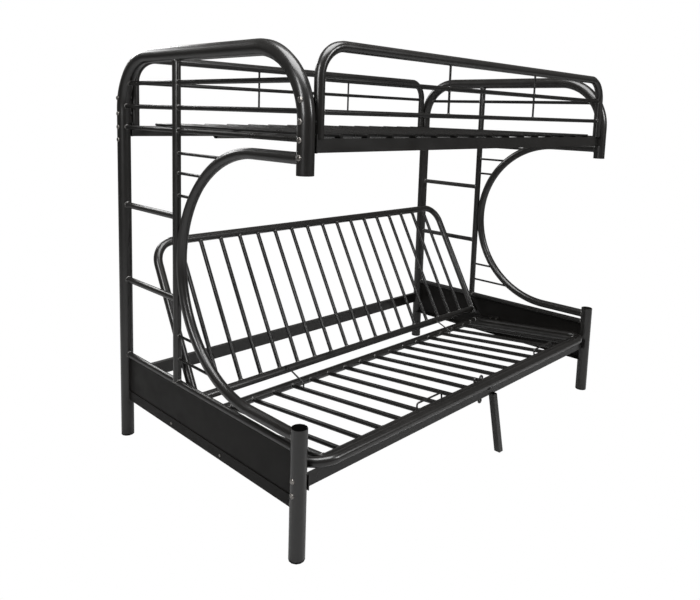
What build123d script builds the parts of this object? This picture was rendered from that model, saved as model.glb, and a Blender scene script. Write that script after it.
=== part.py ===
from build123d import *
import math
import os

os.makedirs("parts", exist_ok=True)

# Sizes are in millimetres. X runs along the bed, Y from its front to its back, Z up from the floor.
# The origin is on the floor, at the middle of the bed's length and depth.

# Overall sizes
end_spacing = 1930.0
post_spacing = 1088.0
leg_height = 427.0
seam_height = 1186.0
arch_rise = 395.4

# Round tubes, bars and wires, drawn with this many flats by how wide they are
tube_flat_count = 12
bar_flat_count = 8
wire_flat_count = 6
bar_limit = 36.0
wire_limit = 9.6
post_diameter = 50.8
post_wall = 1.6
curve_diameter = 35.0
upright_diameter = 28.6
rung_diameter = 22.0
bar_diameter = 16.0
upper_slat_diameter = 12.7
rod_diameter = 9.5
guard_diameter = 32.0
guard_rod_diameter = 8.0
seat_diameter = 32.0
inner_diameter = 25.4
support_diameter = 25.4

# End frames, their upper heights given from the seam of the posts
front_bend_radius = 220.0
back_bend_radius = 200.0
upright_setback = 396.0
curve_top_rise = 48.0
curve_bottom_rise = 42.0
bar_rises = (102.0, 183.0, 271.0)
rung_drops = (209.0, 516.0)
corner_rod_drops = (26.0, 97.0, 178.0)
corner_rod_rises = (50.0, 139.0)
panel_tube_height = 352.0
sheet_thickness = 1.5
angle_drop = 134.0
angle_height = 40.0
angle_flange = 30.0
angle_thickness = 3.0
rivet_rise = 18.0
rivet_setbacks = (359.0, 681.0)
rivet_diameter = 10.0
rivet_head = 2.0

# Post ends
plug_depth = 12.0
glide_height = 6.0
glide_stem = 14.0
sleeve_length = 120.0
sleeve_wall = 2.0

# Upper bunk
rail_rise = 64.0
rail_height = 42.0
rail_thickness = 3.0
rail_flange = 30.0
end_plate_thickness = 4.0
end_plate_width = 36.0
end_plate_height = 54.0
upper_slat_count = 15
slat_end_gap = 2.0
support_end_gap = 40.0
cap_thickness = 2.0

# Guard rails
guard_rise = 390.0
guard_leg_inset = 48.0
guard_bend_radius = 95.0
guard_bar_rises = (182.0, 277.0)
guard_rod_offset = 295.0

# Bolts
spacer_diameter = 16.0
bolt_head_diameter = 18.0
bolt_head_height = 5.0
upper_bolt_rises = (51.0, 101.0, 153.0, 214.0)
leg_bolt_heights = (217.0, 264.0)

# Lower cross members
stretcher_bottom_height = 215.0
stretcher_height = 55.0
stretcher_thickness = 20.0
front_rail_drop = 69.0
front_rail_height = 51.8
front_rail_flange = 25.0
front_rail_notch_length = 110.0
front_rail_notch_depth = 14.0
leg_plate_height = 50.0

# Centre leg
centre_leg_offset = 115.0
centre_leg_size = 25.0
centre_leg_wall = 2.0
centre_foot_forward = 62.0
centre_foot_aside = 30.0
centre_foot_height = 25.0
centre_foot_wall = 2.0
centre_tab_width = 16.0
centre_tab_rise = 38.0
centre_tab_drop = 12.0

# Folding seat
seat_front_height = 291.0
seat_slope = 6.3
seat_length = 654.0
seat_setout = 24.0
seat_end_gap = 50.0
seat_bend_radius = 90.0
side_member_inset = 60.0
seat_slat_count = 16
seat_slat_inset = 140.0

# Folding back
back_lean = 29.2
back_length = 627.6
back_corner_radius = 90.0
back_slat_count = 17
back_slat_inset = 115.0
back_tail = 22.0

# Hinges
pivot_setback = 19.3
pivot_rise = 10.8
back_rail_rise = 64.5
leaf_thickness = 4.0
leaf_gap = 0.5
leaf_width = 26.0
seat_leaf_length = 95.0
back_leaf_length = 128.0
joggle_start = 30.0
joggle_length = 8.0
pin_diameter = 10.0
pin_clearance = 0.5
pin_head_diameter = 18.0
pin_head_height = 3.0
seat_bolt_shares = (0.55, 1.0)
back_bolt_shares = (0.45, 0.72, 1.0)
hinge_bolt_diameter = 10.0

# Wire hoops and hooks for the mattress
wire_diameter = 5.0
hoop_centres = (-314.0, 531.0)
hoop_widths = (148.0, 138.0)
hoop_rise = 26.0
wire_corner_cut = 7.0
hook_centres = (-478.0, 535.0)
hook_lead = 6.0
hook_rise = 22.0
hook_reach = 121.0
hook_fall = 43.0
hook_tip = 21.0

# Saddle that the seat turns in, and brackets that it rests on
saddle_clearance = 1.6
saddle_wall = 4.7
saddle_width = 26.0
saddle_foot = 14.5
saddle_foot_height = 42.0
saddle_opening_below = 35.0
saddle_opening_above = 42.0
rest_setback = 59.0
rest_length = 70.0
rest_height = 46.0
rest_reach = 60.0
rest_thickness = 3.0
rest_clearance = 0.5
rest_bolt_spacing = 36.0
rest_bolt_rise = 32.0

# Places worked out from the sizes
post_radius = post_diameter / 2
post_bore = post_diameter / 2 - post_wall
saddle_bore = seat_diameter / 2 + saddle_clearance
saddle_radius = saddle_bore + saddle_wall
foot_size = centre_leg_size + 2 * centre_foot_wall
front_reach = max(seat_setout + saddle_radius, centre_foot_forward + foot_size / 2)
overall_depth = post_radius + post_spacing + front_reach
end_x = end_spacing / 2
back_y = overall_depth / 2 - post_radius
front_y = back_y - post_spacing
arch_height = seam_height + arch_rise - post_radius
rail_bottom_height = seam_height + rail_rise
front_rail_bottom_height = seat_front_height - front_rail_drop
angle_bottom_height = seat_front_height - angle_drop
upright_y = back_y - upright_setback
curve_top_height = seam_height + curve_top_rise
curve_bottom_height = panel_tube_height + curve_bottom_rise
curve_radius = (curve_top_height - curve_bottom_height) / 2
curve_height = (curve_top_height + curve_bottom_height) / 2
curve_y = upright_y - upright_diameter / 2 - curve_diameter / 2 - curve_radius
inner_x = end_x - post_radius
rail_end = inner_x - end_plate_thickness
seat_half_width = end_x - seat_end_gap
ends = (("left", -1), ("right", 1))
sides = (("front", front_y, 1), ("back", back_y, -1))


def keep(piece, name):
    """Names a finished piece and writes its file."""
    piece.label = name
    export_step(piece, f"parts/{name}.step")
    return piece


def round_outline(diameter, mode=Mode.ADD):
    """A round section drawn with flats that touch the true circle, one of them facing along X."""
    flats = wire_flat_count
    if diameter > wire_limit:
        flats = bar_flat_count
    if diameter > bar_limit:
        flats = tube_flat_count
    RegularPolygon(diameter / 2, flats, major_radius=False, rotation=180 / flats, mode=mode)


def bent_rod(plane, corners, bends, diameter):
    """A round rod bent along a flat path of straight runs."""
    with BuildPart() as rod:
        with BuildLine(plane) as path:
            FilletPolyline(*corners, radius=bends)
        with BuildSketch(Plane(origin=path.line @ 0, x_dir=plane.z_dir, z_dir=path.line % 0)):
            round_outline(diameter)
        sweep()
    return rod.part


def bent_wire(plane, corners, diameter):
    """A thin round wire along a flat path, each corner turned in two steps."""
    points = [Vector(*corners[0])]
    for before, corner, after in zip(corners, corners[1:], corners[2:]):
        turn = Vector(*corner)
        points.append(turn + (Vector(*before) - turn).normalized() * wire_corner_cut)
        points.append(turn + (Vector(*after) - turn).normalized() * wire_corner_cut)
    points.append(Vector(*corners[-1]))
    with BuildPart() as wire:
        with BuildLine(plane) as path:
            Polyline(*[tuple(point) for point in points])
        with BuildSketch(Plane(origin=path.line @ 0, x_dir=plane.z_dir, z_dir=path.line % 0)):
            round_outline(diameter)
        sweep(transition=Transition.RIGHT)
    return wire.part


def rods(plane, places, length, diameter, neighbours=()):
    """Equal round rods standing on a plane, their ends coped to the tubes that they meet."""
    with BuildPart() as made:
        with BuildSketch(plane):
            with Locations(*places):
                round_outline(diameter)
        extrude(amount=length)
        for neighbour in neighbours:
            add(neighbour, mode=Mode.SUBTRACT)
    return made.part


def hollowed(outline, bore):
    """A tube: its outline with its bore taken out."""
    with BuildPart() as tube:
        add(outline)
        add(bore, mode=Mode.SUBTRACT)
    return tube.part


def joined(pieces):
    """Like pieces of one node, kept as separate solids."""
    with BuildPart() as group:
        for piece in pieces:
            add(piece)
    return group.part


def arch_reach(bend_radius, height):
    """How far the middle of an arch tube stands out from its bend's centre at a height."""
    rise = max(height - (arch_height - bend_radius), 0)
    return math.sqrt(bend_radius**2 - rise**2)


# End frames: an arch, back post, front leg, curved tube and panel at each end of the bed
post_outlines = {}

for end, side in ends:
    x = side * end_x
    plane = Plane.YZ.offset(x)
    floor_plane = Plane.XY.offset(glide_height)
    tube_rise = seam_height - glide_height
    leg_rise = leg_height - glide_height
    bore_diameter = post_bore * 2

    # Back post up to the seam
    back_outline = rods(floor_plane, [(x, back_y)], tube_rise, post_diameter)
    back_bore = rods(floor_plane, [(x, back_y)], tube_rise, bore_diameter)
    keep(hollowed(back_outline, back_bore), f"back_post_{end}")

    # Front leg, cut off short below the curved tube's bend
    leg_outline = rods(floor_plane, [(x, front_y)], leg_rise, post_diameter)
    leg_bore = rods(floor_plane, [(x, front_y)], leg_rise, bore_diameter)
    keep(hollowed(leg_outline, leg_bore), f"front_leg_{end}")

    # Arch: one tube bent over the upper bunk from the back post to the front
    corners = (
        (front_y, seam_height),
        (front_y, arch_height),
        (back_y, arch_height),
        (back_y, seam_height),
    )
    bends = (front_bend_radius, back_bend_radius)
    arch_outline = bent_rod(plane, corners, bends, post_diameter)
    arch_bores = joined(
        [
            rods(Plane.XY.offset(seam_height), [(x, front_y)], plug_depth, bore_diameter),
            rods(Plane.XY.offset(seam_height), [(x, back_y)], sleeve_length / 2, bore_diameter),
        ]
    )
    keep(hollowed(arch_outline, arch_bores), f"arch_{end}")

    # Top tube of the low panel between the front leg and the back post
    front_plane = Plane.XZ.offset(-back_y)
    panel_tube = rods(
        front_plane, [(x, panel_tube_height)], post_spacing, rung_diameter, [back_outline, leg_outline]
    )
    keep(panel_tube, f"panel_top_tube_{end}")

    # Mid upright from the panel's top tube to the underside of the arch
    upright = rods(
        Plane.XY.offset(panel_tube_height),
        [(x, upright_y)],
        arch_height - panel_tube_height,
        upright_diameter,
        [panel_tube, arch_outline],
    )
    keep(upright, f"mid_upright_{end}")

    # Curved tube: out of the front post, round in a half circle and back to the front leg
    with BuildPart() as curved_tube:
        with BuildLine(plane) as path:
            Line((front_y, curve_bottom_height), (curve_y, curve_bottom_height))
            CenterArc((curve_y, curve_height), curve_radius, -90, 180)
            Line((curve_y, curve_top_height), (front_y, curve_top_height))
        with BuildSketch(Plane(origin=path.line @ 0, x_dir=plane.z_dir, z_dir=path.line % 0)):
            round_outline(curve_diameter)
        sweep()
        add(arch_outline, mode=Mode.SUBTRACT)
        add(leg_outline, mode=Mode.SUBTRACT)
    keep(curved_tube.part, f"curved_tube_{end}")

    # Guard bars across the end, from post to post through the line of the mid upright
    bars = []
    for rise in bar_rises:
        height = seam_height + rise
        bar_back = back_y - back_bend_radius + arch_reach(back_bend_radius, height)
        bar_front = front_y + front_bend_radius - arch_reach(front_bend_radius, height)
        bars.append(
            rods(
                Plane.XZ.offset(-bar_back),
                [(x, height)],
                bar_back - bar_front,
                bar_diameter,
                [arch_outline, upright],
            )
        )
    keep(joined(bars), f"end_bars_{end}")

    # Ladder rungs between the back post and the mid upright
    rungs = rods(
        front_plane,
        [(x, seam_height - drop) for drop in rung_drops],
        upright_setback,
        rung_diameter,
        [back_outline, upright],
    )
    keep(rungs, f"ladder_rungs_{end}")

    # Short rods that fill the corners between the mid upright and the curved tube
    corner_rods = []
    corner_heights = [curve_bottom_height + rise for rise in corner_rod_rises]
    corner_heights += [curve_top_height - drop for drop in corner_rod_drops]
    for height in corner_heights:
        reach = math.sqrt(curve_radius**2 - (height - curve_height) ** 2)
        corner_rods.append(
            rods(
                Plane.XZ.offset(-upright_y),
                [(x, height)],
                upright_y - curve_y - reach,
                rod_diameter,
                [upright, curved_tube.part],
            )
        )
    keep(joined(corner_rods), f"corner_rods_{end}")

    # Sheet of the low panel, let in behind the angle's flange
    with BuildPart() as sheet:
        with BuildSketch(Plane.XY.offset(angle_bottom_height + angle_thickness)):
            with Locations((x, (front_y + back_y) / 2)):
                Rectangle(sheet_thickness, post_spacing)
        extrude(amount=panel_tube_height - angle_bottom_height - angle_thickness)
        add(back_outline, mode=Mode.SUBTRACT)
        add(leg_outline, mode=Mode.SUBTRACT)
        add(panel_tube, mode=Mode.SUBTRACT)
    keep(sheet.part, f"end_sheet_{end}")

    # Angle along the bottom of the panel, one flange outside the sheet and one below it
    outer_face = end_x + sheet_thickness / 2 + angle_thickness
    with BuildPart() as angle:
        with BuildSketch(front_plane):
            with BuildLine():
                Polyline(
                    (side * outer_face, angle_bottom_height),
                    (side * (outer_face - angle_flange), angle_bottom_height),
                    (side * (outer_face - angle_flange), angle_bottom_height + angle_thickness),
                    (side * (outer_face - angle_thickness), angle_bottom_height + angle_thickness),
                    (side * (outer_face - angle_thickness), angle_bottom_height + angle_height),
                    (side * outer_face, angle_bottom_height + angle_height),
                    close=True,
                )
            make_face()
        extrude(amount=post_spacing)
        add(back_outline, mode=Mode.SUBTRACT)
        add(leg_outline, mode=Mode.SUBTRACT)
    keep(angle.part, f"bottom_angle_{end}")

    post_outlines[end] = back_outline


def both_ends(piece):
    """A piece of the right end together with its mirror image at the left end."""
    with BuildPart() as pair:
        add(piece)
        mirror(about=Plane.YZ)
    return pair.part


# Plugs in the cut ends of the front tubes, glides below the feet and sleeves across the seams
post_plugs = joined(
    [
        rods(Plane.XY.offset(leg_height - plug_depth), [(end_x, front_y)], plug_depth, bore_diameter),
        rods(Plane.XY.offset(seam_height), [(end_x, front_y)], plug_depth, bore_diameter),
    ]
)

with BuildPart() as glides:
    with BuildSketch() as glide_pads:
        with Locations((end_x, front_y), (end_x, back_y)):
            round_outline(post_diameter)
    extrude(amount=glide_height)
    with BuildSketch(Plane.XY.offset(glide_height)) as glide_stems:
        with Locations((end_x, front_y), (end_x, back_y)):
            round_outline(bore_diameter)
    extrude(amount=glide_stem)
keep(both_ends(glides.part), "foot_glides")

with BuildPart() as sleeve:
    with BuildSketch(Plane.XY.offset(seam_height - sleeve_length / 2)):
        with Locations((end_x, back_y)):
            round_outline(bore_diameter)
            round_outline(bore_diameter - 2 * sleeve_wall, mode=Mode.SUBTRACT)
    extrude(amount=sleeve_length)
keep(both_ends(sleeve.part), "seam_sleeves")

# Rivets through the angle and the sheet, heads outside
rivet_height = angle_bottom_height + rivet_rise
rivet_places = [(back_y - setback, rivet_height) for setback in rivet_setbacks]
rivet_heads = rods(Plane.YZ.offset(outer_face), rivet_places, rivet_head, rivet_diameter)
keep(both_ends(rivet_heads), "panel_rivets")

# Upper side rails: an angle whose flange carries the slats, and a plate at each end
rail_top = rail_bottom_height + rail_height
for name, y, inward in sides:
    outer_side = y - inward * rail_thickness / 2
    inner_side = y + inward * rail_thickness / 2
    with BuildPart() as side_rail:
        with BuildSketch(Plane.YZ.offset(-rail_end)):
            with BuildLine():
                Polyline(
                    (outer_side, rail_bottom_height),
                    (outer_side, rail_top),
                    (outer_side + inward * rail_flange, rail_top),
                    (outer_side + inward * rail_flange, rail_top - rail_thickness),
                    (inner_side, rail_top - rail_thickness),
                    (inner_side, rail_bottom_height),
                    close=True,
                )
            make_face()
        extrude(amount=2 * rail_end)
        with BuildSketch(Plane.YZ.offset(rail_end)):
            with Locations((y, rail_bottom_height)):
                Rectangle(end_plate_width, end_plate_height, align=(Align.CENTER, Align.MIN))
        extrude(amount=end_plate_thickness)
        mirror(about=Plane.YZ)
    keep(side_rail.part, f"side_rail_{name}")

# Slats of the upper bunk across the two flanges, and the long tube below their middle
upper_slat_pitch = 2 * inner_x / (upper_slat_count + 1)
slat_run = post_spacing + rail_thickness - 2 * slat_end_gap
with BuildPart() as upper_slats:
    with BuildSketch(Plane.XZ.offset(-(back_y + rail_thickness / 2 - slat_end_gap))):
        with Locations((0, rail_top + upper_slat_diameter / 2)):
            with GridLocations(upper_slat_pitch, upper_slat_diameter, upper_slat_count, 1):
                round_outline(upper_slat_diameter)
    extrude(amount=slat_run)
keep(upper_slats.part, "upper_slats")

middle_y = (front_y + back_y) / 2
support_height = rail_top - support_diameter / 2
support_end = inner_x - support_end_gap
support_tube = rods(
    Plane.YZ.offset(-support_end), [(middle_y, support_height)], 2 * support_end, support_diameter
)
keep(support_tube, "slat_support_tube")
support_cap = rods(
    Plane.YZ.offset(support_end), [(middle_y, support_height)], cap_thickness, support_diameter
)
keep(both_ends(joined([post_plugs, support_cap])), "tube_plugs")

# Guard rails along the front and back of the upper bunk
guard_x = end_x - guard_leg_inset
guard_top = seam_height + guard_rise - guard_diameter / 2
guard_bar_heights = [seam_height + rise for rise in guard_bar_rises]
rods_of_guards = []
for name, y, inward in sides:
    corners = ((-guard_x, rail_top), (-guard_x, guard_top), (guard_x, guard_top), (guard_x, rail_top))
    guard = bent_rod(
        Plane.XZ.offset(-y), corners, (guard_bend_radius, guard_bend_radius), guard_diameter
    )
    keep(guard, f"guard_hoop_{name}")
    guard_bars = rods(
        Plane.YZ.offset(-guard_x),
        [(y, height) for height in guard_bar_heights],
        2 * guard_x,
        bar_diameter,
        [guard],
    )
    keep(guard_bars, f"guard_bars_{name}")
    guard_rods = rods(
        Plane.XY.offset(guard_bar_heights[0]),
        [(-guard_rod_offset, y), (guard_rod_offset, y)],
        guard_top - guard_bar_heights[0],
        guard_rod_diameter,
        [guard, guard_bars],
    )
    rods_of_guards.append(guard_rods)
keep(joined(rods_of_guards), "guard_rods")

# Bolts on the outer flats of the posts, and spacers from the posts to the guard rails' legs
post_places = [(y, seam_height + rise) for name, y, inward in sides for rise in upper_bolt_rises]
leg_places = [(front_y, height) for height in leg_bolt_heights]
post_bolts = rods(
    Plane.YZ.offset(end_x + post_radius), post_places + leg_places, bolt_head_height, bolt_head_diameter
)
guard_face = guard_x + guard_diameter / 2
spacer_places = [(y, height) for y, height in post_places if height > rail_top]
spacers = rods(Plane.YZ.offset(guard_face), spacer_places, inner_x - guard_face, spacer_diameter)
keep(both_ends(spacers), "guard_spacers")

# Back stretcher between the back posts, flush with their backs
stretcher_y = back_y + post_radius - stretcher_thickness / 2
with BuildPart() as stretcher:
    with BuildSketch(Plane.YZ.offset(-end_x)):
        with Locations((stretcher_y, stretcher_bottom_height + stretcher_height / 2)):
            Rectangle(stretcher_thickness, stretcher_height)
    extrude(amount=end_spacing)
    add(post_outlines["left"], mode=Mode.SUBTRACT)
    add(post_outlines["right"], mode=Mode.SUBTRACT)
keep(stretcher.part, "back_stretcher")

# Front support rail: an angle, notched at both ends to clear the seat's corners
web_front = front_y - rail_thickness / 2
web_back = front_y + rail_thickness / 2
front_rail_top = front_rail_bottom_height + front_rail_height
notch_floor = front_rail_top - front_rail_notch_depth
with BuildPart() as front_rail:
    with BuildSketch(Plane.YZ.offset(-rail_end)):
        with BuildLine():
            Polyline(
                (web_front, front_rail_bottom_height),
                (web_front, front_rail_top),
                (web_back + front_rail_flange, front_rail_top),
                (web_back + front_rail_flange, front_rail_top - rail_thickness),
                (web_back, front_rail_top - rail_thickness),
                (web_back, front_rail_bottom_height),
                close=True,
            )
        make_face()
    extrude(amount=2 * rail_end)
    with BuildSketch(Plane.XZ.offset(-(web_back + front_rail_flange))):
        with Locations((rail_end, notch_floor), (-rail_end, notch_floor)):
            Rectangle(
                2 * front_rail_notch_length,
                2 * front_rail_notch_depth,
                align=(Align.CENTER, Align.MIN),
            )
    extrude(amount=front_rail_flange + rail_thickness, mode=Mode.SUBTRACT)
    with BuildSketch(Plane.YZ.offset(rail_end)):
        with Locations((front_y, notch_floor)):
            Rectangle(end_plate_width, leg_plate_height, align=(Align.CENTER, Align.MAX))
    extrude(amount=end_plate_thickness)
    mirror(about=Plane.YZ)
keep(front_rail.part, "front_support_rail")

# Centre leg: a square tube below the front rail, leaning forward to the floor
leg_slant = Vector(centre_foot_aside, centre_foot_forward, front_rail_bottom_height)
leg_top = Vector(centre_leg_offset, front_y, front_rail_bottom_height)
leg_plane = Plane(origin=leg_top, x_dir=(1, 0, 0), z_dir=leg_slant)
leg_run = leg_slant.length
with BuildPart() as centre_leg:
    with BuildSketch(leg_plane):
        Rectangle(centre_leg_size, centre_leg_size)
        bore_size = centre_leg_size - 2 * centre_leg_wall
        Rectangle(bore_size, bore_size, mode=Mode.SUBTRACT)
    extrude(amount=leg_run + centre_leg_size, both=True)
    split(bisect_by=Plane.XY.offset(front_rail_bottom_height), keep=Keep.BOTTOM)
    split(bisect_by=Plane.XY.offset(centre_foot_wall), keep=Keep.TOP)
keep(centre_leg.part, "centre_leg")

with BuildPart() as centre_foot:
    with BuildSketch(leg_plane):
        Rectangle(foot_size, foot_size)
    extrude(amount=-leg_run - foot_size)
    with BuildSketch(leg_plane):
        Rectangle(centre_leg_size, centre_leg_size)
    extrude(amount=-leg_run - foot_size, mode=Mode.SUBTRACT)
    split(bisect_by=Plane.XY.offset(centre_foot_height), keep=Keep.BOTTOM)
    split(bisect_by=Plane.XY.offset(centre_foot_wall), keep=Keep.TOP)
    foot_middle = leg_top - leg_slant * (1 - centre_foot_wall / front_rail_bottom_height)
    with BuildSketch():
        with Locations((foot_middle.X, foot_middle.Y)):
            Rectangle(foot_size, foot_size)
    extrude(amount=centre_foot_wall)
keep(centre_foot.part, "centre_leg_foot")

# Tab that holds the centre leg: flat on the back of the rail's web and down into the leg's bore
with BuildPart() as centre_tab:
    with BuildSketch(Plane.XZ.offset(-(web_back + rail_thickness))):
        with Locations((centre_leg_offset, front_rail_bottom_height - centre_tab_drop)):
            Rectangle(
                centre_tab_width,
                centre_tab_drop + centre_tab_rise,
                align=(Align.CENTER, Align.MIN),
            )
    extrude(amount=rail_thickness)
keep(centre_tab.part, "centre_leg_tab")

# Folding seat, drawn in its own sloping plane from the middle of its front tube
seat_front_y = front_y - seat_setout
seat_plane = Plane(origin=(0, seat_front_y, seat_front_height)).rotated((-seat_slope, 0, 0))
seat_tail = seat_length + seat_diameter / 2


def seat_section(run):
    """The plane square across the seat at a distance behind its front tube."""
    origin = seat_plane.from_local_coords(Vector(0, run, 0))
    return Plane(origin=origin, x_dir=seat_plane.x_dir, z_dir=seat_plane.y_dir)


def crossway(plane, half_width):
    """The plane square to the bed's length at its left limit, set on another plane's origin."""
    return Plane(origin=plane.origin - plane.x_dir * half_width, x_dir=plane.y_dir, z_dir=plane.x_dir)


corners = (
    (-seat_half_width, seat_tail),
    (-seat_half_width, 0),
    (seat_half_width, 0),
    (seat_half_width, seat_tail),
)
seat_tube = bent_rod(seat_plane, corners, (seat_bend_radius, seat_bend_radius), seat_diameter)
keep(seat_tube, "seat_outer_tube")

inner_run = (seat_diameter + inner_diameter) / 2
bend_reach = math.sqrt(seat_bend_radius**2 - (seat_bend_radius - inner_run) ** 2)
inner_reach = seat_half_width - seat_bend_radius + bend_reach
seat_front_rail = rods(
    crossway(seat_plane, inner_reach), [(inner_run, 0)], 2 * inner_reach, inner_diameter, [seat_tube]
)
keep(seat_front_rail, "seat_front_rail")
seat_rear_rail = rods(
    crossway(seat_plane, seat_half_width), [(seat_length, 0)], 2 * seat_half_width, seat_diameter, [seat_tube]
)
keep(seat_rear_rail, "seat_rear_rail")

member_x = seat_half_width - side_member_inset
slat_places = [(-member_x, 0), (member_x, 0)]
side_members = rods(
    seat_section(inner_run),
    slat_places,
    seat_length - inner_run,
    inner_diameter,
    [seat_tube, seat_front_rail, seat_rear_rail],
)
keep(side_members, "seat_side_members")

slat_reach = seat_half_width - seat_slat_inset
slat_shares = [2 * n / (seat_slat_count - 1) - 1 for n in range(seat_slat_count)]
slat_places = [(slat_reach * share, 0) for share in slat_shares]
seat_slats = rods(
    seat_section(inner_run),
    slat_places,
    seat_length - inner_run,
    bar_diameter,
    [seat_front_rail, seat_rear_rail],
)
keep(seat_slats, "seat_slats")

# Folding back, drawn in its leaning plane from the hinge's pin
pin_point = seat_plane.from_local_coords(Vector(0, seat_length - pivot_setback, pivot_rise))
back_plane = Plane(origin=pin_point).rotated((90 - back_lean, 0, 0)).offset(-pivot_rise)
back_top = back_rail_rise + back_length
corners = (
    (-seat_half_width, back_rail_rise - back_tail),
    (-seat_half_width, back_top),
    (seat_half_width, back_top),
    (seat_half_width, back_rail_rise - back_tail),
)
back_tube = bent_rod(back_plane, corners, (back_corner_radius, back_corner_radius), seat_diameter)
keep(back_tube, "back_outer_tube")
back_rail = rods(
    crossway(back_plane, seat_half_width),
    [(back_rail_rise, 0)],
    2 * seat_half_width,
    seat_diameter,
    [back_tube],
)
keep(back_rail, "back_bottom_rail")
slat_origin = back_plane.from_local_coords(Vector(0, back_rail_rise, 0))
slat_reach = seat_half_width - back_slat_inset
slat_shares = [2 * n / (back_slat_count - 1) - 1 for n in range(back_slat_count)]
slat_places = [(slat_reach * share, 0) for share in slat_shares]
back_slats = rods(
    Plane(origin=slat_origin, x_dir=back_plane.x_dir, z_dir=back_plane.y_dir),
    slat_places,
    back_length,
    bar_diameter,
    [back_rail, back_tube],
)
keep(back_slats, "back_slats")

# Hinges: a leaf bolted along each seat tube, a joggled leaf on each back tube, and a pin
leaf_x = seat_half_width + seat_diameter / 2
back_leaf_x = leaf_x + leaf_thickness + leaf_gap
back_leaf_face = back_leaf_x + leaf_thickness
hole_diameter = pin_diameter + 2 * pin_clearance
seat_leaf_run = seat_leaf_length - leaf_width / 2
back_leaf_run = back_leaf_length - leaf_width / 2


def leaf_plane(x, along):
    """The plane of a hinge leaf at x, its first direction running along the tube from the pin."""
    return Plane(origin=pin_point + Vector(x, 0, 0), x_dir=along, z_dir=(1, 0, 0))


def leaf_blank(x, along, run, rise, thickness, hole):
    """A flat leaf round at both ends, from the pin to the far end of its tube's middle line."""
    with BuildPart() as leaf:
        with BuildSketch(leaf_plane(x, along)):
            round_outline(leaf_width)
            with Locations((run, rise)):
                round_outline(leaf_width)
            make_hull()
            RegularPolygon(hole / 2, tube_flat_count, major_radius=False, mode=Mode.SUBTRACT)
        extrude(amount=thickness)
    return leaf.part


def bolts_on(x, along, run, rise, shares):
    """Bolt heads on a leaf's face, spread along its middle line."""
    places = [(share * run, share * rise) for share in shares]
    return rods(leaf_plane(x, along), places, bolt_head_height, hinge_bolt_diameter)


seat_along = -seat_plane.y_dir
back_along = back_plane.y_dir
seat_leaf = leaf_blank(leaf_x, seat_along, seat_leaf_run, pivot_rise, leaf_thickness, pin_diameter)
keep(both_ends(seat_leaf), "seat_hinge_leaves")

with BuildPart() as back_leaf:
    depth = back_leaf_face - leaf_x
    add(leaf_blank(leaf_x, back_along, back_leaf_run, -pivot_rise, depth, hole_diameter))
    with BuildSketch(Plane(origin=pin_point, x_dir=(1, 0, 0), z_dir=back_plane.z_dir)):
        with BuildLine():
            Polyline(
                (back_leaf_x, -leaf_width),
                (back_leaf_x, joggle_start),
                (leaf_x, joggle_start + joggle_length),
                (leaf_x, back_leaf_length),
                (leaf_x + leaf_thickness, back_leaf_length),
                (leaf_x + leaf_thickness, joggle_start + joggle_length),
                (back_leaf_face, joggle_start),
                (back_leaf_face, -leaf_width),
                close=True,
            )
        make_face()
    extrude(amount=2 * leaf_width, both=True, mode=Mode.INTERSECT)
keep(both_ends(back_leaf.part), "back_hinge_leaves")

with BuildPart() as pin:
    with BuildSketch(leaf_plane(leaf_x, seat_along)):
        RegularPolygon(pin_diameter / 2, tube_flat_count, major_radius=False)
    extrude(amount=back_leaf_face + pin_clearance - leaf_x)
    with BuildSketch(leaf_plane(back_leaf_face + pin_clearance, seat_along)):
        round_outline(pin_head_diameter)
    extrude(amount=pin_head_height)
keep(both_ends(pin.part), "hinge_pins")

seat_bolts = bolts_on(leaf_x + leaf_thickness, seat_along, seat_leaf_run, pivot_rise, seat_bolt_shares)
keep(both_ends(seat_bolts), "seat_hinge_bolts")
back_bolts = bolts_on(leaf_x + leaf_thickness, back_along, back_leaf_run, -pivot_rise, back_bolt_shares)
keep(both_ends(back_bolts), "back_hinge_bolts")

# Wire hoops on the seat's inner front rail
hoop_plane = Plane(
    origin=seat_plane.from_local_coords(Vector(0, inner_run, 0)),
    x_dir=seat_plane.x_dir,
    z_dir=-seat_plane.y_dir,
)
hoops = []
for centre, width in zip(hoop_centres, hoop_widths):
    corners = (
        (centre - width / 2, 0),
        (centre - width / 2, hoop_rise),
        (centre + width / 2, hoop_rise),
        (centre + width / 2, 0),
    )
    hoops.append(bent_wire(hoop_plane, corners, wire_diameter))
with BuildPart() as mattress_hoops:
    for hoop in hoops:
        add(hoop)
    add(seat_front_rail, mode=Mode.SUBTRACT)
keep(mattress_hoops.part, "mattress_hoops")

# Wire hooks that reach forward from the back's bottom rail, over the seat
hooks = []
for x in hook_centres:
    corners = (
        (slat_origin.Y, slat_origin.Z),
        (slat_origin.Y - hook_lead, slat_origin.Z + hook_rise),
        (slat_origin.Y - hook_reach, slat_origin.Z + hook_rise - hook_fall),
        (slat_origin.Y - hook_reach, slat_origin.Z + hook_rise - hook_fall - hook_tip),
    )
    hooks.append(bent_wire(Plane.YZ.offset(x), corners, wire_diameter))
with BuildPart() as back_hooks:
    for hook in hooks:
        add(hook)
    add(back_rail, mode=Mode.SUBTRACT)
keep(back_hooks.part, "back_wire_hooks")

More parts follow.
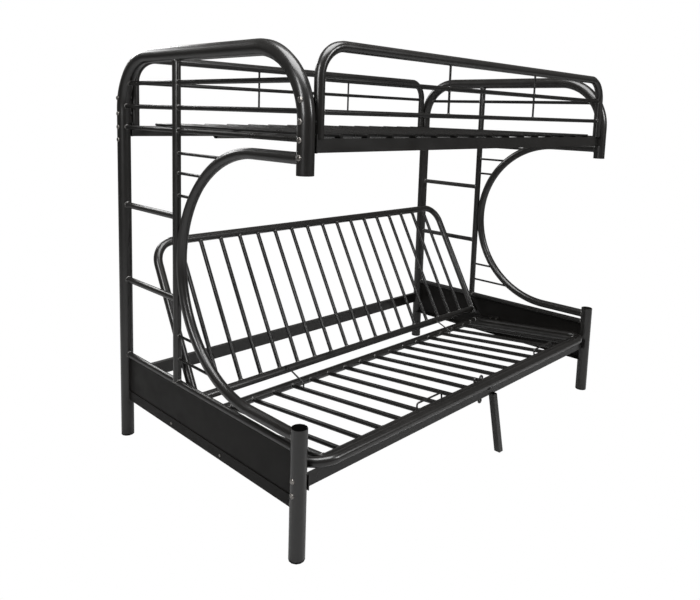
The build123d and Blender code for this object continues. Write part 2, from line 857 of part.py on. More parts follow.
# Saddle on the front rail, open behind for the seat's inner rail
with BuildPart() as saddle:
    with BuildSketch(Plane.YZ.offset(-saddle_width / 2)):
        with Locations((seat_front_y, seat_front_height)):
            round_outline(2 * saddle_radius)
        with Locations((web_front, front_rail_top)):
            Rectangle(saddle_foot, saddle_foot_height, align=(Align.MAX, Align.MAX))
        with Locations((seat_front_y, seat_front_height)):
            round_outline(2 * saddle_bore, mode=Mode.SUBTRACT)
        with BuildLine():
            start = Vector(seat_front_y, seat_front_height)
            low = Vector(2 * saddle_radius, 0).rotate(Axis.Z, -saddle_opening_below)
            high = Vector(2 * saddle_radius, 0).rotate(Axis.Z, saddle_opening_above)
            Polyline(tuple(start), tuple(start + low), tuple(start + high), close=True)
        make_face(mode=Mode.SUBTRACT)
    extrude(amount=saddle_width)
keep(saddle.part, "front_saddle")

# Brackets on the end sheets that the seat's side tubes rest on
rest_plane = seat_plane.offset(-seat_diameter / 2 - rest_clearance)
rest_face = end_x - sheet_thickness / 2
rest_back = seat_length - rest_setback
with BuildPart() as rest:
    with BuildSketch(rest_plane):
        with Locations((rest_face, rest_back)):
            Rectangle(rest_reach, rest_length, align=(Align.MAX, Align.MAX))
    extrude(amount=-rest_thickness)
    rest_side = Plane(
        origin=rest_plane.from_local_coords(Vector(rest_face, rest_back, -rest_thickness)),
        x_dir=-seat_plane.y_dir,
        z_dir=(-1, 0, 0),
    )
    with BuildSketch(rest_side):
        Rectangle(rest_length, rest_height, align=(Align.MIN, Align.MIN))
    extrude(amount=rest_thickness)
keep(both_ends(rest.part), "seat_rest_brackets")

rest_middle = rest_length / 2
rest_places = [
    (rest_middle - rest_bolt_spacing / 2, rest_bolt_rise),
    (rest_middle + rest_bolt_spacing / 2, rest_bolt_rise),
]
rest_bolts = rods(rest_side.offset(rest_thickness), rest_places, bolt_head_height, hinge_bolt_diameter)
keep(both_ends(joined([post_bolts, rest_bolts])), "frame_bolts")
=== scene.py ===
import math
import random

import bmesh
import bpy
from mathutils import Matrix, Vector


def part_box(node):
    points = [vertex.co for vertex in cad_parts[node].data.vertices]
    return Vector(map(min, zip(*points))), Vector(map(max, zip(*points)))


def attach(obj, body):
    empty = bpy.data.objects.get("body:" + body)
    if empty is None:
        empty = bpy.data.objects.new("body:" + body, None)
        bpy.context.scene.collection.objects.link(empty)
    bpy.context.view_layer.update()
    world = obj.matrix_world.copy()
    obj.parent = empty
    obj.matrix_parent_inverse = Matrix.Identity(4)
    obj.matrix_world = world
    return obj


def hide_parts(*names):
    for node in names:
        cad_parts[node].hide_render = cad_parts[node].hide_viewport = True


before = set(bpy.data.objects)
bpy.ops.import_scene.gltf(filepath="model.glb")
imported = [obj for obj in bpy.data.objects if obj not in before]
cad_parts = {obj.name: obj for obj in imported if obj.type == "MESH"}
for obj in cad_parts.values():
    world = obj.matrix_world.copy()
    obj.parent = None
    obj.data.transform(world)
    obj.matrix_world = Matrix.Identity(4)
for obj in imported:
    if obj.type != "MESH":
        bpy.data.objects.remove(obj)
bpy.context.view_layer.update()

# Lengths are in metres and angles in radians, unless a name says otherwise

# The camera that took the photograph, found from the bed's own lines
PHOTO_WIDTH_PIXELS = 700.0
FOCAL_PIXELS = 658.412
CENTRE_BELOW_AXIS_PIXELS = 100.0
SENSOR_MM = 36.0
CAMERA_PLACE = Vector((-2.21133, -1.91963, 1.36359))
CAMERA_YAW = 0.796468
CAMERA_PITCH = 0.129137
CAMERA_ROLL = 0.031107

# Studio
WHITE = (1.0, 1.0, 1.0, 1.0)
FLOOR_GREY = (0.42, 0.42, 0.42, 1.0)
FLOOR_ROUGHNESS = 0.9
FLOOR_SPAN = 60.0
FLOOR_DROP = 0.0005
SKY_COLOUR = (1.0, 0.98, 0.95, 1.0)
SKY_STRENGTH = 0.12

# Shading: ranges that patterns are spread over, the sharpest corner that shades round, and the
# roughness of the clear layer
FULL = (0.0, 1.0)
MIDDLE = (0.3, 0.7)
SMOOTH_ANGLE = math.radians(64.0)
CLEAR_ROUGHNESS = 0.18

# Weld beads
MERGE = 0.00002
THIN_ROD = 0.0075
THIN_WELD = 0.0020
THICK_WELD = 0.0027
WELD_SIDES = 5
WELD_LUMPS = (0.8, 1.25)
JOINT_SHARE = 0.84
POST_REACH = 0.03

# Bolt heads
HEAD_HEIGHT = 0.0036
HEAD_EDGE = 0.0008
HEAD_SKIRT = 0.0015
HEAD_FULLNESS = 0.8
HEAD_SIDES = 16
HEAD_STEPS = 5

# The support rail under the seat's front, and the pad under the centre leg
LEG_LINE = -0.51845
RAIL_BOTTOM = 0.222
RAIL_THICKNESS = 0.003
RAIL_SOFTNESS = 0.0008
PLATE_THICKNESS = 0.004
PLATE_WIDTH = 0.036
NOTCH_LENGTH = 0.110
NOTCH_DEPTH = 0.003
PAD_MARGIN = 0.0005

# The seat's place, and its wire hoops and hooks for the mattress
SEAT_SLOPE = math.radians(6.3)
SEAT_SETOUT = 0.024
SEAT_HEIGHT = 0.291
WIRE_RADIUS = 0.0035
WIRE_ROUNDNESS = 3
BEND_STEPS = 5
HOOPS = ((-0.314, 0.148), (0.540, 0.160))
HOOP_FOOT = 0.0115
HOOP_RISE = 0.037
HOOP_BEND = 0.010
HOOKS = (-0.478, 0.535)
HOOK_CORNERS = ((0.0, 0.0), (-0.006, 0.022), (-0.121, -0.021), (-0.121, -0.042))
HOOK_BEND = 0.008

# The spring clip at the middle of the seat
CLIP_WIRE_RADIUS = 0.0040
CROOKS = (-0.012, 0.030)
CROOK_SETBACK = 0.006
CROOK_LIFT = 0.006
CROOK_HALF_TURNS = 1.7
CUP_RADIUS = 0.0192
CUP_START_DEGREES = -150
CUP_END_DEGREES = -30
CUP_STEPS = 12
CURL_RADIUS = 0.0085
CURL_STEPS = 16
CURL_X = 0.026


# Materials


class Shader:
    """A procedural material and short ways to add nodes to it."""

    def __init__(self, name):
        self.material = bpy.data.materials.new(name)
        self.material.use_nodes = True
        self.nodes = self.material.node_tree.nodes
        self.links = self.material.node_tree.links
        self.surface = self.nodes["Principled BSDF"]

    def add(self, kind):
        return self.nodes.new(kind)

    def link(self, out, into):
        self.links.new(out, into)

    def feed(self, socket, value):
        """Links a value to one of the surface's sockets."""
        self.link(value, self.surface.inputs[socket])

    def noise(self, scale, detail, roughness=0.5):
        """A noise pattern over the object; its scale counts features per metre."""
        node = self.add("ShaderNodeTexNoise")
        node.inputs["Scale"].default_value = scale
        node.inputs["Detail"].default_value = detail
        node.inputs["Roughness"].default_value = roughness
        self.link(self.add("ShaderNodeTexCoord").outputs["Object"], node.inputs["Vector"])
        return node.outputs["Fac"]

    def spread(self, value, source, target):
        """Maps a value from one range to another, clamped."""
        node = self.add("ShaderNodeMapRange")
        node.inputs["From Min"].default_value, node.inputs["From Max"].default_value = source
        node.inputs["To Min"].default_value, node.inputs["To Max"].default_value = target
        self.link(value, node.inputs["Value"])
        return node.outputs["Result"]

    def mix(self, amount, first, second):
        """Blends two colours by an amount."""
        node = self.add("ShaderNodeMix")
        node.data_type = "RGBA"
        self.link(amount, node.inputs["Factor"])
        for socket, colour in ((node.inputs["A"], first), (node.inputs["B"], second)):
            if isinstance(colour, tuple):
                socket.default_value = colour
            else:
                self.link(colour, socket)
        return node.outputs["Result"]

    def multiply(self, first, second):
        node = self.add("ShaderNodeMath")
        node.operation = "MULTIPLY"
        self.link(first, node.inputs[0])
        self.link(second, node.inputs[1])
        return node.outputs["Value"]

    def gloss(self, pattern, low, high):
        """Varies the surface's roughness between two values by a pattern."""
        self.feed("Roughness", self.spread(pattern, MIDDLE, (low, high)))

    def bump(self, height, strength, distance):
        """Raises the surface's shading by a height pattern."""
        node = self.add("ShaderNodeBump")
        node.inputs["Strength"].default_value = strength
        node.inputs["Distance"].default_value = distance
        self.link(height, node.inputs["Height"])
        self.feed("Normal", node.outputs["Normal"])

    def upward(self):
        """How far a face looks up, from -1 to 1."""
        split = self.add("ShaderNodeSeparateXYZ")
        normal = self.add("ShaderNodeNewGeometry").outputs["Normal"]
        self.link(normal, split.inputs["Vector"])
        return split.outputs["Z"]


def grey(value, warmth=0.0):
    """A near grey with a little warmth."""
    return (value * (1 + warmth), value, value * (1 - warmth), 1.0)


def powder_coat(name, shade, warmth, roughness, peel, specular, clear):
    """Black powder coat: fine orange peel, cloudy gloss, faint dust on top and a soft sheen."""
    make = Shader(name)
    clouds = make.spread(make.noise(scale=3.2, detail=3.0), MIDDLE, FULL)
    colour = make.mix(clouds, grey(shade, warmth), grey(shade * 1.6, warmth))
    flecks = make.spread(make.noise(scale=900.0, detail=1.0), (0.62, 0.74), (0.0, 0.3))
    colour = make.mix(flecks, colour, grey(shade * 2.0, warmth))
    patches = make.spread(make.noise(scale=9.0, detail=6.0, roughness=0.7), (0.5, 0.8), (0.0, 0.2))
    dust = make.multiply(make.spread(make.upward(), (0.6, 1.0), FULL), patches)
    make.feed("Base Color", make.mix(dust, colour, grey(0.03, 0.04)))
    make.gloss(make.noise(scale=14.0, detail=4.0), roughness - 0.05, roughness + 0.07)
    make.bump(make.noise(scale=420.0, detail=1.0), strength=peel, distance=0.0003)
    make.surface.inputs["Specular IOR Level"].default_value = specular
    make.surface.inputs["Coat Weight"].default_value = clear
    make.surface.inputs["Coat Roughness"].default_value = CLEAR_ROUGHNESS
    return make.material


def moulded_plastic(name, shade, roughness, specular):
    """Black moulded plastic with a fine grain and paler scuffs."""
    make = Shader(name)
    scratches = make.noise(scale=60.0, detail=8.0, roughness=0.8)
    scuffs = make.spread(scratches, (0.6, 0.76), (0.0, 0.35))
    make.feed("Base Color", make.mix(scuffs, grey(shade), grey(shade * 2.4, 0.02)))
    make.gloss(make.noise(scale=25.0, detail=4.0), roughness - 0.08, roughness + 0.1)
    make.bump(make.noise(scale=900.0, detail=2.0), strength=0.25, distance=0.0004)
    make.surface.inputs["Specular IOR Level"].default_value = specular
    return make.material


def zinc(name, shade, roughness):
    """Black zinc on steel fasteners, worn brighter in spots."""
    make = Shader(name)
    wear = make.spread(make.noise(scale=130.0, detail=6.0, roughness=0.7), (0.52, 0.7), FULL)
    make.feed("Base Color", make.mix(wear, grey(shade, 0.05), grey(shade * 3.2, 0.08)))
    make.gloss(make.noise(scale=240.0, detail=3.0), roughness - 0.08, roughness + 0.12)
    make.bump(make.noise(scale=700.0, detail=2.0), strength=0.2, distance=0.0003)
    make.surface.inputs["Metallic"].default_value = 0.9
    return make.material


def weld_metal_with_painted_glints(name):
    """Painted weld beads: lumpy and glossier than the tubes, with a painted highlight: their lumps
    are coloured far paler than the coat to stand in for glints.
    """
    make = Shader(name)
    lumps = make.noise(scale=330.0, detail=3.0)
    # painted highlight: pale lumps stand in for the glints on the welds
    make.feed("Base Color", make.mix(lumps, grey(0.012, 0.03), grey(0.14, 0.05)))
    make.gloss(lumps, 0.1, 0.24)
    make.bump(lumps, strength=0.4, distance=0.0006)
    make.surface.inputs["Specular IOR Level"].default_value = 1.0
    make.surface.inputs["Coat Weight"].default_value = 0.6
    return make.material


# The flats of round tubes shade as one round surface, and hard corners stay crisp


def smoothing_group():
    """A node group that joins the faces at their edges and shades gentle corners smooth."""
    group = bpy.data.node_groups.new("round_shading", "GeometryNodeTree")
    for in_out in ("INPUT", "OUTPUT"):
        group.interface.new_socket("Geometry", in_out=in_out, socket_type="NodeSocketGeometry")
    start = group.nodes.new("NodeGroupInput")
    end = group.nodes.new("NodeGroupOutput")
    merge = group.nodes.new("GeometryNodeMergeByDistance")
    merge.inputs["Distance"].default_value = MERGE
    angle = group.nodes.new("GeometryNodeInputMeshEdgeAngle")
    gentle = group.nodes.new("FunctionNodeCompare")
    gentle.data_type = "FLOAT"
    gentle.operation = "LESS_THAN"
    gentle.inputs[1].default_value = SMOOTH_ANGLE
    faces = group.nodes.new("GeometryNodeSetShadeSmooth")
    faces.domain = "FACE"
    edges = group.nodes.new("GeometryNodeSetShadeSmooth")
    edges.domain = "EDGE"
    group.links.new(start.outputs[0], merge.inputs["Geometry"])
    group.links.new(merge.outputs["Geometry"], faces.inputs["Geometry"])
    group.links.new(faces.outputs["Geometry"], edges.inputs["Geometry"])
    group.links.new(angle.outputs["Unsigned Angle"], gentle.inputs[0])
    group.links.new(gentle.outputs["Result"], edges.inputs["Shade Smooth"])
    group.links.new(edges.outputs["Geometry"], end.inputs[0])
    return group


round_shading = smoothing_group()


def smooth(piece):
    modifier = piece.modifiers.new("round_shading", "NODES")
    modifier.node_group = round_shading


# The CAD nodes, each with the material of its kind

coat = powder_coat(
    "powder_coat", shade=0.006, warmth=0.08, roughness=0.34, peel=0.09, specular=0.48, clear=0.75
)
sheet_coat = powder_coat(
    "sheet_coat", shade=0.006, warmth=0.08, roughness=0.38, peel=0.16, specular=0.16, clear=0.0
)
slat_coat = powder_coat(
    "slat_coat", shade=0.0055, warmth=0.06, roughness=0.30, peel=0.08, specular=0.45, clear=0.15
)
plastic = moulded_plastic("moulded_plastic", shade=0.004, roughness=0.32, specular=0.25)
plug_plastic = moulded_plastic("plug_plastic", shade=0.0006, roughness=0.3, specular=0.03)
fastener = zinc("black_zinc", shade=0.24, roughness=0.28)
weld = weld_metal_with_painted_glints("weld_metal_with_painted_glints")

PLASTIC_NODES = ("foot_glides", "centre_leg_foot", "guard_spacers")
FASTENER_NODES = (
    "frame_bolts",
    "panel_rivets",
    "seat_hinge_bolts",
    "back_hinge_bolts",
    "hinge_pins",
)


def material_for(name):
    if name == "tube_plugs":
        return plug_plastic
    if name in PLASTIC_NODES:
        return plastic
    if name in FASTENER_NODES:
        return fastener
    if "sheet" in name or "angle" in name:
        return sheet_coat
    if "slats" in name or "bars" in name or "rods" in name:
        return slat_coat
    return coat


for name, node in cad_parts.items():
    node.data.materials.clear()
    node.data.materials.append(material_for(name))
    smooth(node)

# Ways to add a piece, and to find places on the CAD nodes


def add_piece(name, mesh, material, body):
    """Puts a finished mesh or curve in the scene and on its body."""
    piece = bpy.data.objects.new(name, mesh)
    bpy.context.scene.collection.objects.link(piece)
    mesh.materials.append(material)
    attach(piece, body)
    return piece


def closed_mesh(name, points, faces, round_faces=False):
    """A mesh from points and faces, flat or round in its shading."""
    mesh = bpy.data.meshes.new(name)
    mesh.from_pydata([tuple(point) for point in points], [], faces)
    mesh.validate()
    mesh.update()
    if round_faces:
        for face in mesh.polygons:
            face.use_smooth = True
    return mesh


def islands(mesh):
    """The corner points of each separate solid of a CAD mesh."""
    work = bmesh.new()
    work.from_mesh(mesh)
    bmesh.ops.remove_doubles(work, verts=work.verts, dist=MERGE)
    left = set(work.verts)
    found = []
    for start in work.verts:
        if start not in left:
            continue
        left.discard(start)
        group, front = [start], [start]
        while front:
            for edge in front.pop().link_edges:
                for vert in edge.verts:
                    if vert in left:
                        left.discard(vert)
                        group.append(vert)
                        front.append(vert)
        found.append([vert.co.copy() for vert in group])
    work.free()
    return found


def middle(points):
    return sum(points, Vector()) / len(points)


def centre_of(name):
    low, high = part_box(name)
    return (Vector(low) + Vector(high)) / 2


# Weld beads where rods and tubes meet their neighbours


def joint_line(points, axis):
    """The outermost of some points in order round an axis, and how far out they are."""
    centre = middle(points)
    side = axis.orthogonal().normalized()
    other = axis.cross(side)
    spans = []
    for point in points:
        offset = point - centre
        across, along = offset.dot(side), offset.dot(other)
        spans.append((math.hypot(across, along), math.atan2(along, across), point))
    widest = max(span for span, angle, point in spans)
    ring = [(angle, point) for span, angle, point in spans if span > JOINT_SHARE * widest]
    ring.sort(key=lambda place: place[0])
    return [point for angle, point in ring], widest


def rod_joints(name):
    """The joint line at both ends of each straight rod of a node, with the rod's radius."""
    lines = []
    for points in islands(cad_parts[name].data):
        centre = middle(points)
        far = max(points, key=lambda point: (point - centre).length) - centre
        halves = [[p for p in points if (p - centre).dot(far) * sign > 0] for sign in (1, -1)]
        axis = (middle(halves[0]) - middle(halves[1])).normalized()
        lines += [joint_line(half, axis) for half in halves]
    return lines


def curved_joints(name):
    """The joint lines of a curved tube where it meets the front post and the front leg."""
    low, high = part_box(name)
    middle_height = (low[2] + high[2]) / 2
    near = [
        point
        for points in islands(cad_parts[name].data)
        for point in points
        if point.y < low[1] + POST_REACH
    ]
    return [
        joint_line([p for p in near if (p.z - middle_height) * sign > 0], Vector((0, 1, 0)))
        for sign in (1, -1)
    ]


def beads(lines):
    """Points and faces of lumpy weld beads, each laid along its joint line."""
    points, faces = [], []
    for ring, radius in lines:
        size = THIN_WELD if radius < THIN_ROD else THICK_WELD
        centre = middle(ring)
        path = []
        for index, point in enumerate(ring):
            path += [point, (point + ring[(index + 1) % len(ring)]) / 2]
        first = len(points)
        count = len(path)
        for index, point in enumerate(path):
            ahead = (path[(index + 1) % count] - path[index - 1]).normalized()
            outward = point - centre
            outward = (outward - ahead * outward.dot(ahead)).normalized()
            across = ahead.cross(outward)
            lump = size * random.uniform(*WELD_LUMPS)
            for step in range(WELD_SIDES):
                angle = 2 * math.pi * step / WELD_SIDES
                out, aside = lump * math.cos(angle), lump * math.sin(angle)
                points.append(point + outward * out + across * aside)
        for index in range(count):
            here = first + index * WELD_SIDES
            there = first + (index + 1) % count * WELD_SIDES
            for step in range(WELD_SIDES):
                after = (step + 1) % WELD_SIDES
                faces.append((here + step, here + after, there + after, there + step))
    return points, faces


WELDED = {
    "frame": (
        "end_bars_",
        "ladder_rungs_",
        "corner_rods_",
        "mid_upright_",
        "panel_top_tube_",
        "guard_bars_",
        "guard_rods",
    ),
    "seat": ("seat_slats", "seat_side_members", "seat_rear_rail"),
    "back": ("back_slats", "back_bottom_rail"),
}
random.seed(7)
for body, starts in WELDED.items():
    lines = []
    for name in sorted(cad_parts):
        if name.startswith(starts):
            lines += rod_joints(name)
        if body == "frame" and name.startswith("curved_tube_"):
            lines += curved_joints(name)
    mesh = closed_mesh(f"weld_beads_{body}", *beads(lines), round_faces=True)
    add_piece(f"weld_beads_{body}", mesh, weld, body)

# Bolt heads


def domed_heads(name):
    """Low domed heads with a flat skirt, in place of a node's plain round ones."""
    rings = [(1.0, -HEAD_SKIRT), (1.0, HEAD_EDGE)]
    for step in range(1, HEAD_STEPS):
        angle = math.pi / 2 * step / HEAD_STEPS
        rise = HEAD_EDGE + (HEAD_HEIGHT - HEAD_EDGE) * math.sin(angle)
        rings.append((math.cos(angle) ** HEAD_FULLNESS, rise))
    points, faces = [], []
    for corners in islands(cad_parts[name].data):
        low = Vector([min(p[k] for p in corners) for k in range(3)])
        high = Vector([max(p[k] for p in corners) for k in range(3)])
        centre = (low + high) / 2
        outward = math.copysign(1.0, centre.x)
        seat_x = low.x if outward > 0 else high.x
        radius = (high.z - low.z) / 2
        first = len(points)
        for share, rise in rings:
            for step in range(HEAD_SIDES):
                angle = 2 * math.pi * step / HEAD_SIDES * outward
                y = centre.y + math.cos(angle) * share * radius
                z = centre.z + math.sin(angle) * share * radius
                points.append((seat_x + outward * rise, y, z))
        points.append((seat_x + outward * HEAD_HEIGHT, centre.y, centre.z))
        for ring in range(len(rings) - 1):
            for step in range(HEAD_SIDES):
                a = first + ring * HEAD_SIDES + step
                b = first + ring * HEAD_SIDES + (step + 1) % HEAD_SIDES
                faces.append((a, b, b + HEAD_SIDES, a + HEAD_SIDES))
        last = first + (len(rings) - 1) * HEAD_SIDES
        top = len(points) - 1
        faces += [
            (last + step, last + (step + 1) % HEAD_SIDES, top) for step in range(HEAD_SIDES)
        ]
        faces.append(tuple(first + step for step in reversed(range(HEAD_SIDES))))
    return points, faces


bolt_mesh = closed_mesh("bolt_heads", *domed_heads("frame_bolts"), round_faces=True)
bolt_heads = add_piece("bolt_heads", bolt_mesh, fastener, "frame")
smooth(bolt_heads)
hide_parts("frame_bolts")

# The support rail under the seat's front


def block(low, high):
    """The corners and faces of a plain block."""
    corners = [
        (x, y, z)
        for x in (low[0], high[0])
        for y in (low[1], high[1])
        for z in (low[2], high[2])
    ]
    sides = [
        (0, 1, 3, 2),
        (4, 6, 7, 5),
        (0, 4, 5, 1),
        (2, 3, 7, 6),
        (0, 2, 6, 4),
        (1, 5, 7, 3),
    ]
    return corners, sides


def front_rail():
    """An angle whose web has a shallow notch at both ends, with a plate on each end."""
    low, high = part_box("front_support_rail")
    plate_front, plate_back = LEG_LINE - PLATE_WIDTH / 2, LEG_LINE + PLATE_WIDTH / 2
    web_front = LEG_LINE - RAIL_THICKNESS / 2
    web_back = web_front + RAIL_THICKNESS
    bottom, top = RAIL_BOTTOM, high[2]
    end = high[0] - PLATE_THICKNESS
    notch_x, notch_z = end - NOTCH_LENGTH, top - NOTCH_DEPTH
    outline = [
        (-end, bottom),
        (end, bottom),
        (end, notch_z),
        (notch_x, notch_z),
        (notch_x, top),
        (-notch_x, top),
        (-notch_x, notch_z),
        (-end, notch_z),
    ]
    count = len(outline)
    points = [(x, y, z) for y in (web_front, web_back) for x, z in outline]
    faces = [tuple(range(count)), tuple(reversed(range(count, 2 * count)))]
    for here in range(count):
        after = (here + 1) % count
        faces.append((here, here + count, after + count, after))
    blocks = [((-notch_x, web_back, top - RAIL_THICKNESS), (notch_x, high[1], top))]
    for side in (-1, 1):
        x = sorted((side * end, side * high[0]))
        blocks.append(((x[0], plate_front, bottom), (x[1], plate_back, notch_z)))
    for block_low, block_high in blocks:
        corners, sides = block(block_low, block_high)
        faces += [tuple(index + len(points) for index in side) for side in sides]
        points += corners
    return points, faces


def soften(piece, width):
    """Rounds a piece's hard edges a little, so that they catch the light."""
    bevel = piece.modifiers.new("soft_edges", "BEVEL")
    bevel.width = width
    bevel.segments = 2
    bevel.limit_method = "ANGLE"


rail_mesh = closed_mesh("support_rail", *front_rail())
support_rail = add_piece("support_rail", rail_mesh, slat_coat, "frame")
soften(support_rail, RAIL_SOFTNESS)
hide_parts("front_support_rail")

# The pad under the centre leg


def leg_pad():
    """A thin pad flush with the centre leg, from its cut end down to the floor."""
    corners = islands(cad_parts["centre_leg"].data)[0]
    floor_end = min(point.z for point in corners)
    cut = [point for point in corners if point.z < floor_end + PAD_MARGIN]
    centre = middle(cut)
    outer = sorted(cut, key=lambda point: (point - centre).length)[-4:]
    outer.sort(key=lambda point: math.atan2(point.y - centre.y, point.x - centre.x))
    points = [(point.x, point.y, z) for z in (0.0, floor_end) for point in outer]
    faces = [(3, 2, 1, 0), (4, 5, 6, 7)]
    faces += [(i, (i + 1) % 4, (i + 1) % 4 + 4, i + 4) for i in range(4)]
    return points, faces


pad_mesh = closed_mesh("leg_pad", *leg_pad())
pad = add_piece("leg_pad", pad_mesh, plastic, "frame")
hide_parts("centre_leg_foot")

# Wires: hoops, hooks and the spring clip


def wire_path(corners, bend):
    """The points of a wire with round bends at its inner corners."""
    path = [corners[0]]
    for before, corner, after in zip(corners, corners[1:], corners[2:]):
        enter = corner + (before - corner).normalized() * bend
        leave = corner + (after - corner).normalized() * bend
        for step in range(BEND_STEPS + 1):
            share = step / BEND_STEPS
            path.append(enter.lerp(corner, share).lerp(corner.lerp(leave, share), share))
    return path + [corners[-1]]


def wires(name, paths, radius, body, replaced=None):
    """Bent wires with closed ends as one piece."""
    data = bpy.data.curves.new(name, "CURVE")
    data.dimensions = "3D"
    data.bevel_depth = radius
    data.bevel_resolution = WIRE_ROUNDNESS
    data.use_fill_caps = True
    for path in paths:
        spline = data.splines.new("POLY")
        spline.points.add(len(path) - 1)
        for point, place in zip(spline.points, path):
            point.co = (*place, 1.0)
    piece = add_piece(name, data, coat, body)
    if replaced:
        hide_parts(replaced)


# Hoops that keep the mattress on the seat
seat_up = Vector((0, math.sin(SEAT_SLOPE), math.cos(SEAT_SLOPE)))
inner_rail = centre_of("seat_front_rail")
hoops = []
for hoop_middle, hoop_width in HOOPS:
    foot = inner_rail + Vector((hoop_middle, 0, 0)) + seat_up * HOOP_FOOT
    rise = seat_up * (HOOP_RISE - HOOP_FOOT)
    half = Vector((hoop_width / 2, 0, 0))
    corners = [foot - half, foot - half + rise, foot + half + rise, foot + half]
    hoops.append(wire_path(corners, HOOP_BEND))
wires("mattress_wire_hoops", hoops, WIRE_RADIUS, "seat", "mattress_hoops")

# Hooks that reach forward from the back's bottom rail
bottom_rail = centre_of("back_bottom_rail")
hooks = []
for hook_x in HOOKS:
    corners = [Vector((hook_x, bottom_rail.y + y, bottom_rail.z + z)) for y, z in HOOK_CORNERS]
    hooks.append(wire_path(corners, HOOK_BEND))
wires("mattress_wire_hooks", hooks, WIRE_RADIUS, "back", "back_wire_hooks")

# The clip's two crooks over the seat's inner rail
crooks = []
for crook_x in CROOKS:
    foot = inner_rail + Vector((crook_x, CROOK_SETBACK, 0)) + seat_up * HOOP_FOOT
    crook = [foot]
    for step in range(CURL_STEPS + 1):
        angle = math.pi * (1 - CROOK_HALF_TURNS * step / CURL_STEPS)
        aside = Vector((CURL_RADIUS * (1 + math.cos(angle)), 0, 0))
        crook.append(foot + aside + seat_up * (CROOK_LIFT + CURL_RADIUS * math.sin(angle)))
    crooks.append(crook)
wires("seat_clip_crooks", crooks, CLIP_WIRE_RADIUS, "seat")

# The clip's cup under the front tube, and its curl below the support rail
front_tube = Vector((0, LEG_LINE - SEAT_SETOUT, SEAT_HEIGHT))
cup = []
for step in range(CUP_STEPS + 1):
    turned = (CUP_END_DEGREES - CUP_START_DEGREES) * step / CUP_STEPS
    angle = math.radians(CUP_START_DEGREES + turned)
    y, z = math.cos(angle) * CUP_RADIUS, math.sin(angle) * CUP_RADIUS
    cup.append(front_tube + Vector((CURL_X, y, z)))
behind_web = LEG_LINE + RAIL_THICKNESS / 2 + CLIP_WIRE_RADIUS
curl = []
for step in range(CURL_STEPS + 1):
    angle = 2 * math.pi * step / CURL_STEPS
    x = CURL_X + CURL_RADIUS * math.sin(angle)
    z = RAIL_BOTTOM - CURL_RADIUS * (1.0 - math.cos(angle))
    curl.append(Vector((x, behind_web, z)))
wires("saddle_clip", [cup, curl], CLIP_WIRE_RADIUS, "frame", "front_saddle")

# Floor and backdrop: white to the camera, pale and dim to all other light


def white_for_camera(name):
    """White to the camera, and a pale diffuse floor to all other light."""
    make = Shader(name)
    rays = make.add("ShaderNodeLightPath")
    glow = make.add("ShaderNodeEmission")
    glow.inputs["Color"].default_value = WHITE
    glow.inputs["Strength"].default_value = 1.0
    choice = make.add("ShaderNodeMixShader")
    make.surface.inputs["Base Color"].default_value = FLOOR_GREY
    make.surface.inputs["Roughness"].default_value = FLOOR_ROUGHNESS
    make.link(rays.outputs["Is Camera Ray"], choice.inputs[0])
    make.link(make.surface.outputs[0], choice.inputs[1])
    make.link(glow.outputs[0], choice.inputs[2])
    make.link(choice.outputs[0], make.nodes["Material Output"].inputs["Surface"])
    return make.material


bpy.ops.mesh.primitive_plane_add(size=FLOOR_SPAN, location=(0, 0, -FLOOR_DROP))
floor = bpy.context.object
floor.name = "floor"
floor.data.materials.append(white_for_camera("studio_white"))

world = bpy.data.worlds.new("studio")
bpy.context.scene.world = world
world.use_nodes = True
world_nodes = world.node_tree.nodes
world_links = world.node_tree.links
backdrop = world_nodes["Background"]
backdrop.inputs["Color"].default_value = SKY_COLOUR
backdrop.inputs["Strength"].default_value = SKY_STRENGTH
seen = world_nodes.new("ShaderNodeBackground")
seen.inputs["Color"].default_value = WHITE
rays = world_nodes.new("ShaderNodeLightPath")
choose = world_nodes.new("ShaderNodeMixShader")
world_links.new(rays.outputs["Is Camera Ray"], choose.inputs[0])
world_links.new(backdrop.outputs[0], choose.inputs[1])
world_links.new(seen.outputs[0], choose.inputs[2])
world_links.new(choose.outputs[0], world_nodes["World Output"].inputs["Surface"])

# Lights


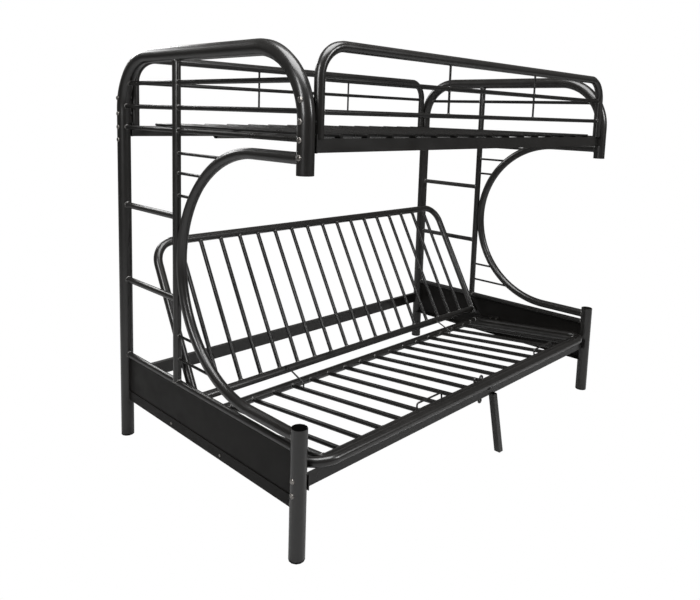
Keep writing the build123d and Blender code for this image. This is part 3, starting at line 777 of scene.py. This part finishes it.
def soft_light(name, place, target, size, watts):
    """A softbox of a width and a height that faces a point."""
    lamp = bpy.data.lights.new(name, "AREA")
    lamp.shape = "RECTANGLE"
    lamp.size, lamp.size_y = size
    lamp.energy = watts
    light = bpy.data.objects.new(name, lamp)
    light.location = place
    light.rotation_mode = "QUATERNION"
    light.rotation_quaternion = (Vector(target) - Vector(place)).to_track_quat("-Z", "Y")
    bpy.context.scene.collection.objects.link(light)


soft_light("top_light", place=(-0.7, -0.9, 4.2), target=(0, -0.1, 0.7), size=(3.2, 2.4), watts=170)
soft_light("key_light", place=(-4.0, -1.2, 2.6), target=(0, 0, 0.9), size=(1.0, 2.0), watts=62)
soft_light("side_light", place=(1.8, -4.6, 3.0), target=(0, 0, 0.8), size=(1.0, 1.4), watts=66)
soft_light("back_light", place=(-0.5, 4.2, 3.0), target=(0, 0, 0.8), size=(3.0, 1.0), watts=60)

# Camera


def photo_camera():
    """The camera at the photograph's place, turned and tilted as it was."""
    forward = Vector(
        (
            math.sin(CAMERA_YAW) * math.cos(CAMERA_PITCH),
            math.cos(CAMERA_YAW) * math.cos(CAMERA_PITCH),
            -math.sin(CAMERA_PITCH),
        )
    )
    level = Vector((math.cos(CAMERA_YAW), -math.sin(CAMERA_YAW), 0))
    above = level.cross(forward)
    right = math.cos(CAMERA_ROLL) * level + math.sin(CAMERA_ROLL) * above
    up = -math.sin(CAMERA_ROLL) * level + math.cos(CAMERA_ROLL) * above
    data = bpy.data.cameras.new("photo_camera")
    data.sensor_fit = "HORIZONTAL"
    data.sensor_width = SENSOR_MM
    data.lens = FOCAL_PIXELS / PHOTO_WIDTH_PIXELS * SENSOR_MM
    data.shift_y = -CENTRE_BELOW_AXIS_PIXELS / PHOTO_WIDTH_PIXELS
    data.dof.use_dof = False
    camera = bpy.data.objects.new("photo_camera", data)
    bpy.context.scene.collection.objects.link(camera)
    turn = Matrix((right, up, -forward)).transposed()
    camera.matrix_world = Matrix.Translation(CAMERA_PLACE) @ turn.to_4x4()
    return camera


bpy.context.scene.camera = photo_camera()
bpy.context.scene.view_settings.view_transform = "Standard"
